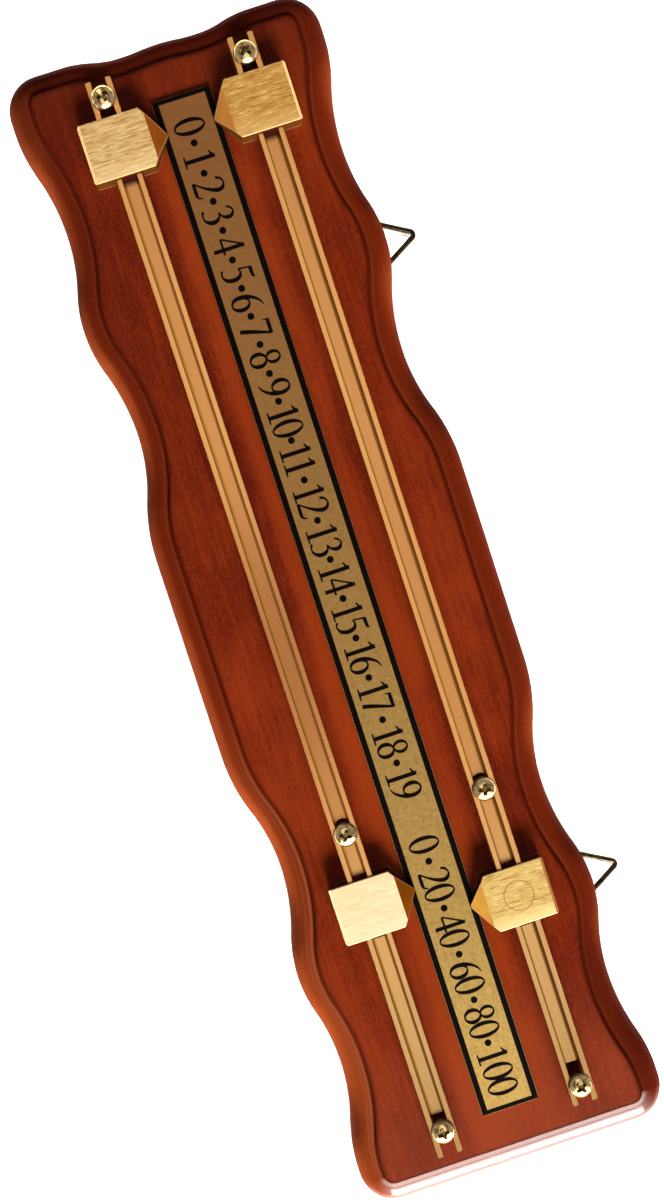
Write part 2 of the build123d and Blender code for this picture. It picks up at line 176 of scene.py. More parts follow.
class Bench:
    """Makes the nodes of one tree."""

    def __init__(self, tree: bpy.types.NodeTree) -> None:
        """Work on that tree."""
        self.tree = tree

    def node(
        self,
        kind: str,
        settings: Optional[dict] = None,
        inputs: Optional[dict] = None,
        output: Union[int, str] = 0,
    ) -> Signal:
        """Make a node, its settings first and then its sockets.

        Args:
            kind: The node's type.
            settings: Its properties; "stops" fills a ramp with places and colours.
            inputs: Values, signals or lists of signals by socket name or index.
            output: Which output to return.

        Returns:
            The chosen output.
        """
        made = self.tree.nodes.new(kind)
        for name, value in (settings or {}).items():
            if name == "stops":
                self._fill_ramp(made.color_ramp, value)
            else:
                setattr(made, name, value)
        for key, value in (inputs or {}).items():
            for part in value if isinstance(value, list) else [value]:
                self._feed(made.inputs[key], part)
        return Signal(self, made.outputs[output]) if len(made.outputs) else Signal(self, made.inputs[0])

    @staticmethod
    def _fill_ramp(ramp: bpy.types.ColorRamp, stops: Sequence[tuple[float, Colour]]) -> None:
        """Give a ramp its places and colours."""
        while len(ramp.elements) < len(stops):
            ramp.elements.new(0.5)
        for element, (place, colour) in zip(ramp.elements, stops):
            element.position = place
            element.color = (*colour, 1.0)

    def _feed(self, socket: bpy.types.NodeSocket, value: object) -> None:
        """Link a signal to a socket, or set the socket's own value."""
        if isinstance(value, Signal):
            self.tree.links.new(value.socket, socket)
        elif isinstance(value, tuple) and socket.type == "RGBA" and len(value) == 3:
            socket.default_value = (*value, 1.0)
        else:
            socket.default_value = value

    def place(self, stretch: Point, shift: Point = (0.0, 0.0, 0.0)) -> Signal:
        """Return the object's own coordinates, in metres, stretched for a pattern."""
        here = self.node("ShaderNodeTexCoord", output="Object")
        return self.node("ShaderNodeMapping", {}, {"Vector": here, "Location": shift, "Scale": stretch})

    def axis(self, name: str) -> Signal:
        """Return one of the object's own coordinates in millimetres."""
        here = self.node("ShaderNodeTexCoord", output="Object")
        return self.node("ShaderNodeSeparateXYZ", {}, {0: here}, name) * (1 / MM)

    def attribute(self, name: str) -> Signal:
        """Return a number that the mesh keeps at its points."""
        return self.node("ShaderNodeAttribute", {"attribute_name": name}, output="Fac")

    def facing(self, name: str) -> Signal:
        """Return how far the surface faces along one of the object's own axes."""
        normal = self.node("ShaderNodeTexCoord", output="Normal")
        return self.node("ShaderNodeSeparateXYZ", {}, {0: normal}, name)

    def noise(self, vector: Signal, scale: float = 1.0, detail: float = 3.0, roughness: float = 0.55,
              distortion: float = 0.0) -> Signal:
        """Return a noise's value around a half."""
        return self.node(
            "ShaderNodeTexNoise",
            {},
            {"Vector": vector, "Scale": scale, "Detail": detail, "Roughness": roughness,
             "Distortion": distortion},
        )

    def mix(self, factor: Number, first: Union[Signal, Colour], second: Union[Signal, Colour]) -> Signal:
        """Blend two colours."""
        return self.node("ShaderNodeMix", {"data_type": "RGBA"}, {0: factor, 6: first, 7: second}, 2)

    def bump(self, height: Signal, depth: float, strength: float = 1.0) -> Signal:
        """Return a normal bent by a height, whose depth is in millimetres."""
        return self.node(
            "ShaderNodeBump", {}, {"Height": height, "Distance": depth * MM, "Strength": strength}, "Normal"
        )

    def surface(self, **sockets: object) -> None:
        """End a material in one shader; socket names are written with underscores for spaces."""
        inputs = {name.replace("_", " "): value for name, value in sockets.items()}
        shader = self.node("ShaderNodeBsdfPrincipled", {}, inputs)
        self.node("ShaderNodeOutputMaterial", {}, {"Surface": shader})


# Finishes


@dataclass(frozen=True)
class Finish:
    """A surface finish, made once as a material."""

    name: str

    def paint(self, bench: Bench) -> None:
        """Build the nodes; each kind of finish has its own."""
        raise NotImplementedError

    def material(self) -> bpy.types.Material:
        """Return the material, made the first time it is asked for."""
        known = bpy.data.materials.get(self.name)
        if known:
            return known
        made = bpy.data.materials.new(self.name)
        made.use_nodes = True
        made.node_tree.nodes.clear()
        self.paint(Bench(made.node_tree))
        return made

    def dress(self, *pieces: bpy.types.Object) -> None:
        """Give pieces this finish alone."""
        for piece in pieces:
            piece.data.materials.clear()
            piece.data.materials.append(self.material())


@dataclass(frozen=True)
class StainedMahogany(Finish):
    """Red stain under gloss lacquer, with grain along the board.

    The mesh's "inwards" attribute, in millimetres from the board's edge, places the moulding's tones.
    """

    deep: Colour = shade(98, 28, 12)
    body: Colour = shade(142, 47, 17)
    glow: Colour = shade(168, 66, 22)
    pore: Colour = shade(66, 19, 10)
    faded: Colour = shade(170, 84, 58)
    rim: Colour = shade(176, 80, 36)
    quarter_round: Colour = shade(122, 40, 14)
    ledge: Colour = shade(176, 92, 60)
    groove: Colour = shade(70, 17, 5)
    gleam: Colour = shade(238, 205, 198)
    ledge_at: float = 7.2
    groove_at: float = 8.3

    def paint(self, bench: Bench) -> None:
        """Build the grain along X, the wood darker towards the -X end, and the moulding's tones with their painted
        light and shade.
        """
        bands = bench.noise(bench.place((6.0, 60.0, 60.0)), detail=2.0, distortion=0.6)
        fibres = bench.noise(bench.place((34.0, 760.0, 760.0)), detail=4.0, roughness=0.66, distortion=0.3)
        clouds = bench.noise(bench.place((20.0, 34.0, 34.0)), detail=3.0, roughness=0.6)
        specks = bench.noise(bench.place((900.0, 1700.0, 1700.0)), detail=2.0)
        pores = bench.noise(bench.place((210.0, 3000.0, 3000.0), (0.3, 0.1, 0.0)), detail=1.0)
        pore_mask = pores.between(0.60, 0.72) * fibres.between(0.42, 0.62)
        x, y = bench.axis("X"), bench.axis("Y")
        inwards = bench.attribute("inwards")
        tone = bands * 0.30 + fibres * 0.30 + clouds * 0.35 + specks * 0.50 - 0.14
        between_rails = abs(y - 2.1).between(17.5, 12.5) * x.between(-168.0, -150.0)
        between_rails = between_rails * (y.between(10.0, -8.0) * 0.7 + 0.8)
        wood = bench.mix((tone + between_rails * 0.10).between(0.40, 0.76), self.deep, self.body)
        warmth = (clouds * 0.6 + fibres * 0.4).between(0.42, 0.70) * 0.45 + between_rails * 0.25
        warm = bench.mix(warmth, wood, self.glow)
        # painted light: the wood turns paler towards the +X end, nearest the lamp
        warm = bench.mix(x.between(120.0, 196.0) * 0.30, warm, self.faded)
        grained = bench.mix(pore_mask * 0.4, warm, self.pore)
        # painted light: the moulding's lower rim is lighter on the -Y side and where it faces +X, with some random
        # patchiness
        nearer = y.between(20.0, -30.0)
        far_half = x.between(20.0, 60.0)
        lit = bench.facing("X").between(-0.02, 0.16) * 0.35 + 0.65
        worn = nearer * lit * (clouds.between(0.25, 0.6) * 0.3 + 0.7)
        rim = bench.mix(worn, self.quarter_round, self.rim)
        flank = bench.mix(inwards.between(2.6, 4.4), rim, self.quarter_round)
        # painted light: more of the lit rim colour along stretches of the -Y side and on faces towards +X
        flank = bench.mix(nearer * (x.between(80.0, 120.0) * 0.4 + x.between(5.0, 45.0) * 0.3), flank, self.rim)
        flank = bench.mix(y.between(-38.0, -48.0) * x.between(-160.0, -180.0) * 0.4, flank, self.rim)
        flank = bench.mix(bench.facing("X").between(0.04, 0.24) * 0.4, flank, self.rim)
        # painted highlight: a light line along the step's flat top, strongest on the -Y side of the +X half
        line = abs(inwards - self.ledge_at).between(0.8, 0.2) * (nearer * far_half * 0.6 + 0.15)
        flank = bench.mix(line, flank, self.ledge)
        flank = bench.mix(tone.between(0.62, 0.42) * 0.35, flank, self.pore)
        # painted shade: faces turned away from +X at the -X end, and the +Y side near +X, are darkened
        turned_from_lamp = bench.facing("X").between(-0.03, -0.22) * x.between(-184.0, -170.0)
        far_corner_shade = y.between(20.0, 40.0) * x.between(100.0, 140.0) * 0.45
        flank = bench.mix((turned_from_lamp * 0.58 + far_corner_shade).least(0.62), flank, self.pore)
        shaped = bench.mix(inwards.between(8.6, 9.0), flank, grained)
        # painted shade: a dark line where the step rises to the field, and a slight darkening of the field's border
        # next to it
        sunk_shade = abs(inwards - self.groove_at).between(1.3, 0.2) * 0.58 + inwards.between(12.5, 8.6) * 0.28
        lined = bench.mix(sunk_shade.least(0.9), shaped, self.groove)
        # painted highlight: the step's shoulder at the +X end is painted near white
        far_end = x.between(187.0, 188.5) * abs(y).between(50.0, 43.0)
        shoulder = inwards.between(8.3, 7.7) * (inwards.between(6.2, 7.0) * 0.45 + 0.25)
        lined = bench.mix(far_end * shoulder, lined, self.gleam)
        # darker towards the -X end, most at its very end, and along the -Y edge of the -X half
        darkening = x.between(-160.0, -190.0) * 0.38 + x.between(-189.0, -199.0) * 0.4 + y.between(-28.0, -42.0) * x.between(0.0, -120.0) * 0.2
        colour = bench.mix(darkening, lined, self.pore)
        height = fibres * 0.6 - pore_mask * 0.8
        bench.surface(
            Base_Color=colour,
            Roughness=0.50 + fibres * 0.12,
            Specular_IOR_Level=0.0,
            Coat_Weight=inwards.between(8.5, 9.4) * 0.62 + x.between(188.0, 192.0) * 0.3 + 0.03,
            Coat_Roughness=0.09,
            Normal=bench.bump(height, 0.03, 0.4),
        )


class Streaks(Enum):
    """Which way a metal was brushed or drawn, as marks in a metre along X, Y and Z."""

    ALONG = (30.0, 2400.0, 2400.0)
    ACROSS = (1500.0, 130.0, 1500.0)
    NONE = (800.0, 800.0, 800.0)


@dataclass(frozen=True)
class Brass(Finish):
    """Brass whose level faces are brushed, drawn or satin, with painted highlights on its edges and painted shade on
    its walls.
    """

    dark: Colour = shade(158, 106, 50)
    body: Colour = shade(212, 172, 108)
    light: Colour = shade(246, 214, 156)
    wall: Colour = shade(100, 54, 18)
    edge: Colour = shade(196, 160, 104)
    streaks: Streaks = Streaks.ACROSS
    contrast: float = 1.0
    roughness: float = 0.36
    metallic: float = 0.35
    groove: float = 0.0015
    graze: Colour = shade(170, 110, 50)

    def slopes(self, bench: Bench, lift: Signal) -> Signal:
        """Return the colour of the faces that aren't level, from how far they face up: painted shade where they stand
        steep, a lighter edge colour where they tilt up.
        """
        # painted shade on the steep sides, and a lighter edge colour where they tilt up
        return bench.mix(lift.between(0.15, 0.45), self.wall, self.edge)

    def weather(self, bench: Bench, colour: Signal) -> Signal:
        """Return the whole colour with its wear and its painted light and shade; plain brass has none."""
        return colour

    def paint(self, bench: Bench) -> None:
        """Build short wavering streaks on the level faces, then the slopes and each kind's wear and painted light and
        shade.
        """
        stretch = self.streaks.value
        coarse = bench.noise(bench.place(stretch), detail=4.0, roughness=0.68, distortion=0.7)
        fine = bench.noise(bench.place(tuple(2.6 * part for part in stretch), (0.7, 0.2, 0.0)), detail=2.0)
        worn = coarse * 0.62 + fine * 0.38
        lift = bench.facing("Z")
        top = lift.between(0.97, 0.995)
        brushed = bench.mix(worn.between(0.50, 0.36) * self.contrast, self.body, self.dark)
        brushed = bench.mix(worn.between(0.50, 0.66) * self.contrast, brushed, self.light)
        colour = bench.mix(top, self.slopes(bench, lift), brushed)
        bench.surface(
            Base_Color=self.weather(bench, colour),
            Metallic=self.metallic,
            Roughness=self.roughness + coarse * 0.15,
            Specular_IOR_Level=0.15,
            Specular_Tint=(*self.graze, 1.0),
            Normal=bench.bump(coarse * top, self.groove),
        )


@dataclass(frozen=True)
class PlateBrass(Brass):
    """Satin brass with painted shade that darkens and browns it towards the plate's -X end."""

    browned: Colour = shade(165, 101, 58)

    def weather(self, bench: Bench, colour: Signal) -> Signal:
        """Paint shade, darker and browner towards the -X end."""
        # painted shade: darker and browner towards the -X end, away from the lamp
        return bench.mix(bench.axis("X").between(150.0, -190.0) * 0.82, colour, self.browned)


@dataclass(frozen=True)
class RailBrass(Brass):
    """Drawn brass, redder at -X, with painted shade in the middle and in the slot's corners."""

    redder: Colour = shade(236, 168, 98)
    tarnish: Colour = shade(214, 150, 60)
    grime: Colour = shade(150, 92, 40)
    dullness: float = 0.68

    def weather(self, bench: Bench, colour: Signal) -> Signal:
        """Paint shade: darken the middle, the slot's floor and the two lines along the slot."""
        x, y, z = (bench.axis(name) for name in "XYZ")
        colour = bench.mix(x.between(150.0, 30.0), colour, self.redder)
        # painted shade: the rails darken in the middle, the lower rail most
        middle_shade_mask = abs(x - 8.0).between(75.0, 5.0) * (y.between(10.0, -10.0) * 0.85 + 0.15)
        colour = bench.mix(middle_shade_mask * self.dullness, colour, self.dark)
        across = abs(abs(y - 2.1) - 24.15)
        # painted shade: the slot's floor darkens away from the +X end
        sunk_shade = z.between(17.0, 16.7) * x.between(120.0, 60.0)
        colour = bench.mix(sunk_shade * 0.3, colour, self.dark)
        floor = z.between(17.0, 16.7)
        # painted shade in the gaps beside the raised land, under the lips
        colour = bench.mix(across.between(1.7, 1.95) * floor, colour, self.tarnish)
        # painted shade: a darker line along the +Y side of each slot's floor
        beside = y - (y.between(0.0, 4.2) * (RAIL_Y["upper"] - RAIL_Y["lower"]) + RAIL_Y["lower"])
        return bench.mix(beside.between(1.45, 1.8) * floor * 0.85, colour, self.grime)


@dataclass(frozen=True)
class PointerBrass(Brass):
    """Brushed brass of a pointer at a place on the board, whose nose looks along +Y (1) or -Y (-1)."""

    place: tuple[float, float] = (0.0, 0.0)
    nose: float = 1.0
    slope: Colour = shade(166, 92, 36)
    bevel: Colour = shade(232, 190, 126)
    mark_radius: Optional[float] = None
    bright_end: float = 0.3
    rim_share: float = 0.5
    half_length: float = 9.8
    shoulder: float = 9.5
    tip: float = 16.35

    def slopes(self, bench: Bench, lift: Signal) -> Signal:
        """Add a painted highlight at the foot of the walls, the nose's sloped face in painted light and shade with
        highlighted rims, and the bevelled face behind, painted in light and shade too.
        """
        smooth = super().slopes(bench, lift)
        # painted highlight: a light line at the foot of the walls
        hem = bench.axis("Z").between(16.0, 15.7)
        smooth = bench.mix(hem * 0.35, smooth, self.edge)
        stains = bench.noise(bench.place((90.0, 90.0, 90.0)), detail=2.0)
        slope = bench.mix(stains.between(0.3, 0.7) * 0.3, self.slope, self.wall)
        # painted highlight: light lines along the rims of the nose's sloped face
        forward = (bench.axis("Y") - self.place[1]) * self.nose
        reach = (self.tip - forward) * (self.half_length / (self.tip - self.shoulder))
        rim = reach - abs(bench.axis("X") - self.place[0])
        slope = bench.mix(rim.between(0.8, 0.35) * self.rim_share, slope, self.edge)
        # painted light and shade: the nose's sloped face is darker on the pointers whose nose looks along +Y
        steep = lift.between(0.5, 0.6)
        ahead = bench.facing("Y") * self.nose
        smooth = bench.mix(ahead.between(0.35, 0.5) * steep, smooth, slope)
        # painted light and shade: the bevelled face behind the nose takes each pointer's own lit tone
        return bench.mix(ahead.between(-0.6, -0.66) * steep, smooth, self.bevel)

    def weather(self, bench: Bench, colour: Signal) -> Signal:
        """Paint light on the top towards its +X end, and draw the rivet's faint circle where there is one."""
        # painted light: the top lightens towards its +X end, towards the lamp
        end = (bench.axis("X") - self.place[0]).between(3.0, 9.6) * bench.facing("Z").between(0.97, 0.995)
        colour = bench.mix(end * self.bright_end, colour, self.light)
        if self.mark_radius is None:
            return colour
        away_x = bench.axis("X") - self.place[0]
        away_y = bench.axis("Y") - self.place[1]
        away = abs((away_x * away_x + away_y * away_y) ** 0.5 - self.mark_radius)
        return bench.mix(away.between(0.30, 0.10) * 0.7, colour, self.dark)


@dataclass(frozen=True)
class PrintInk(Finish):
    """Black ink, a little uneven."""

    ink: Colour = shade(13, 8, 7)

    def paint(self, bench: Bench) -> None:
        """Build a black that varies slightly."""
        flecks = bench.noise(bench.place((1400.0, 1400.0, 1400.0)), detail=2.0)
        colour = bench.mix(flecks.between(0.45, 0.75) * 0.3, self.ink, shade(30, 20, 15))
        bench.surface(Base_Color=colour, Roughness=0.55 + flecks * 0.15, Specular_IOR_Level=0.02)


@dataclass(frozen=True)
class PlatedSteel(Finish):
    """Turned or bent steel with a plated colour and fine wear."""

    body: Colour = shade(250, 214, 152)
    worn: Colour = shade(146, 104, 58)
    steep: Colour = shade(66, 48, 26)
    graze: Colour = shade(110, 86, 50)
    roughness: float = 0.13

    def paint(self, bench: Bench) -> None:
        """Build blotches of wear and a fine grain, and paint shade on the steep sides that don't face +X."""
        wear = bench.noise(bench.place((700.0, 700.0, 700.0)), detail=3.0)
        grain = bench.noise(bench.place((2600.0, 2600.0, 2600.0)), detail=2.0)
        colour = bench.mix(wear.between(0.45, 0.62) * 0.7, self.body, self.worn)
        # painted shade: the head's steep sides, except those facing +X, get a dark colour and less metal
        walls = abs(bench.facing("Z")).between(0.75, 0.45) * bench.facing("X").between(0.75, 0.45)
        bench.surface(
            Base_Color=bench.mix(walls * 0.9, colour, self.steep),
            Metallic=1 - walls * 0.9,
            Roughness=self.roughness + wear * 0.16,
            Specular_IOR_Level=0.1,
            Specular_Tint=(*self.graze, 1.0),
            Normal=bench.bump(grain, 0.004),
        )


@dataclass(frozen=True)
class MouldedNylon(Finish):
    """Very dark brown moulded nylon with a slight skin texture, and painted shade on its faces towards +X."""

    body: Colour = shade(84, 22, 16)
    grimy: Colour = shade(44, 15, 10)

    def paint(self, bench: Bench) -> None:
        """Build a fine skin over the dark brown, and painted shade on the faces towards +X."""
        skin = bench.noise(bench.place((1800.0, 1800.0, 1800.0)), detail=2.0)
        colour = bench.mix(skin.between(0.4, 0.7) * 0.4, self.body, shade(70, 20, 16))
        # painted shade: faces towards +X are darkened
        colour = bench.mix(bench.facing("X").between(0.2, 0.6), colour, self.grimy)
        bench.surface(Base_Color=colour, Roughness=0.6 + skin * 0.15, Specular_IOR_Level=0.02,
                      Normal=bench.bump(skin, 0.01))


@dataclass(frozen=True)
class PaleFloor(Finish):
    """The studio's plain pale floor."""

    body: Colour = (0.93, 0.93, 0.925)

    def paint(self, bench: Bench) -> None:
        """Build an almost even white."""
        haze = bench.noise(bench.place((3.0, 3.0, 3.0)), detail=2.0)
        colour = bench.mix(haze.between(0.3, 0.7) * 0.3, self.body, (0.90, 0.90, 0.895))
        bench.surface(Base_Color=colour, Roughness=0.9, Specular_IOR_Level=0.1)


# Meshes


def piece_from(name: str, mesh: bpy.types.Mesh, finish: Finish) -> bpy.types.Object:
    """Show a mesh as a piece of the root body.

    Args:
        name: The piece's name.
        mesh: Its mesh, in place.
        finish: Its finish.

    Returns:
        The piece.
    """
    mesh.name = name
    piece = bpy.data.objects.new(name, mesh)
    bpy.context.scene.collection.objects.link(piece)
    finish.dress(piece)
    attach(piece, ROOT)
    return piece


def close_mesh(shape: bmesh.types.BMesh, name: str, crease_above: float = 32.0) -> bpy.types.Mesh:
    """Finish a shape: doubles merged, normals outwards, smooth apart from its creases.

    Args:
        shape: The shape, which is freed.
        name: The mesh's name.
        crease_above: The angle in degrees from which an edge stays sharp.

    Returns:
        The mesh.
    """
    bmesh.ops.remove_doubles(shape, verts=shape.verts, dist=1e-7)
    bmesh.ops.recalc_face_normals(shape, faces=shape.faces)
    limit = math.radians(crease_above)
    for face in shape.faces:
        face.smooth = True
    for edge in shape.edges:
        edge.smooth = len(edge.link_faces) == 2 and edge.calc_face_angle(0.0) < limit
    mesh = bpy.data.meshes.new(name)
    shape.to_mesh(mesh)
    shape.free()
    return mesh


def loft(shape: bmesh.types.BMesh, rings: Sequence[Sequence[Point]], capped: bool = True) -> None:
    """Join closed rings of points, given in millimetres, into a skin.

    Args:
        shape: Where the faces go.
        rings: Rings with the same number of points each.
        capped: Whether the first and the last ring are filled.
    """
    rows = [[shape.verts.new(Vector(point) * MM) for point in ring] for ring in rings]
    count = len(rows[0])
    for below, above in zip(rows, rows[1:]):
        for here in range(count):
            after = (here + 1) % count
            shape.faces.new((below[here], below[after], above[after], above[here]))
    if capped:
        shape.faces.new(list(reversed(rows[0])))
        shape.faces.new(rows[-1])


def baked(source: bpy.types.Object) -> bpy.types.Mesh:
    """Turn an object with modifiers into a plain mesh and delete the object."""
    bpy.context.view_layer.update()
    graph = bpy.context.evaluated_depsgraph_get()
    mesh = bpy.data.meshes.new_from_object(source.evaluated_get(graph), depsgraph=graph)
    source.modifiers.clear()
    bpy.data.objects.remove(source)
    return mesh


def helper(name: str, mesh: bpy.types.Mesh) -> bpy.types.Object:
    """Link an object that only lends its mesh to others."""
    made = bpy.data.objects.new(name, mesh)
    bpy.context.scene.collection.objects.link(made)
    return made


def combined(base: bpy.types.Mesh, others: Iterable[bpy.types.Mesh], operation: str) -> bpy.types.Mesh:
    """Add meshes to a base, or cut them from it.

    Args:
        base: The first mesh.
        others: The meshes that are added or cut.
        operation: UNION or DIFFERENCE.

    Returns:
        The result, with its doubles merged.
    """
    body = helper("boolean_base", base)
    tools = [helper("boolean_tool", other) for other in others]
    for tool in tools:
        cut = body.modifiers.new("cut", "BOOLEAN")
        cut.operation = operation
        cut.solver = "EXACT"
        cut.object = tool
    mesh = baked(body)
    for tool in tools:
        bpy.data.objects.remove(tool)
    shape = bmesh.new()
    shape.from_mesh(mesh)
    return close_mesh(shape, mesh.name)


# Repeated pieces


@dataclass(frozen=True)
class Station:
    """Where one copy of a repeated piece stands, in millimetres, and how it is turned, in degrees."""

    place: Point
    turn: Point = (0.0, 0.0, 0.0)
    which: int = 0


class Layout:
    """Sets copies of master meshes at stations with one node tree."""

    def __init__(self, name: str) -> None:
        """Build the tree: stations, masters, size and finish are its named inputs."""
        self.tree = bpy.data.node_groups.new(name, "GeometryNodeTree")
        bench = Bench(self.tree)
        face = self.tree.interface
        face.new_socket("Geometry", in_out="OUTPUT", socket_type="NodeSocketGeometry")
        face.new_socket("Geometry", in_out="INPUT", socket_type="NodeSocketGeometry")
        self.masters = face.new_socket("Masters", in_out="INPUT", socket_type="NodeSocketCollection").identifier
        self.size = face.new_socket("Size", in_out="INPUT", socket_type="NodeSocketFloat").identifier
        self.finish = face.new_socket("Finish", in_out="INPUT", socket_type="NodeSocketMaterial").identifier
        given = bench.node("NodeGroupInput", output="Geometry")
        choice = bench.node(
            "GeometryNodeCollectionInfo",
            {"transform_space": "ORIGINAL"},
            {"Collection": given.output("Masters"), "Separate Children": True, "Reset Children": True},
        )
        turn = bench.node("GeometryNodeInputNamedAttribute", {"data_type": "FLOAT_VECTOR"}, {"Name": "turn"})
        which = bench.node("GeometryNodeInputNamedAttribute", {"data_type": "INT"}, {"Name": "which"})
        rotation = bench.node("FunctionNodeEulerToRotation", {}, {0: turn})
        copies = bench.node(
            "GeometryNodeInstanceOnPoints",
            {},
            {
                "Points": given,
                "Instance": choice,
                "Pick Instance": True,
                "Instance Index": which,
                "Rotation": rotation,
                "Scale": given.output("Size"),
            },
        )
        plain = bench.node("GeometryNodeRealizeInstances", {}, {0: copies})
        dressed = bench.node(
            "GeometryNodeSetMaterial", {}, {"Geometry": plain, "Material": given.output("Finish")}
        )
        bench.node("NodeGroupOutput", {}, {"Geometry": dressed})

    def lay(self, masters: Sequence[bpy.types.Mesh], stations: Sequence[Station], finish: Finish) -> bpy.types.Mesh:
        """Set the masters at the stations.

        Args:
            masters: The meshes that stations choose from, by their order.
            stations: The places.
            finish: The finish of every copy.

        Returns:
            One plain mesh with every copy.
        """
        store = bpy.data.collections.new("masters")
        bpy.context.scene.collection.children.link(store)
        lenders = []
        for number, mesh in enumerate(masters):
            lender = bpy.data.objects.new(f"master_{number:02d}", mesh)
            store.objects.link(lender)
            lenders.append(lender)
        points = bpy.data.meshes.new("stations")
        points.from_pydata([Vector(station.place) * MM for station in stations], [], [])
        points.attributes.new("turn", "FLOAT_VECTOR", "POINT")
        points.attributes.new("which", "INT", "POINT")
        for number, station in enumerate(stations):
            turn = [math.radians(angle) for angle in station.turn]
            points.attributes["turn"].data[number].vector = turn
            points.attributes["which"].data[number].value = station.which
        holder = helper("stations", points)
        pattern = holder.modifiers.new("layout", "NODES")
        pattern.node_group = self.tree
        pattern[self.masters] = store
        pattern[self.size] = 1.0
        pattern[self.finish] = finish.material()
        mesh = baked(holder)
        for lender in lenders:
            bpy.data.objects.remove(lender)
        bpy.data.collections.remove(store)
        return mesh


# The board


@dataclass(frozen=True)
class Bend:
    """One arc of the outline: its centre, radius, first and last angle in degrees."""

    centre: Vector
    radius: float
    first: float
    last: float
    hollow: bool = False

    def walk(self, pitch: float) -> list[tuple[Vector, Vector]]:
        """Return points along the arc with the direction that points out of the board."""
        count = max(2, round(abs(math.radians(self.last - self.first)) * self.radius / pitch))
        found = []
        for step in range(count + 1):
            angle = math.radians(self.first + (self.last - self.first) * step / count)
            out = Vector((math.cos(angle), math.sin(angle)))
            found.append((self.centre + out * self.radius, -out if self.hollow else out))
        return found


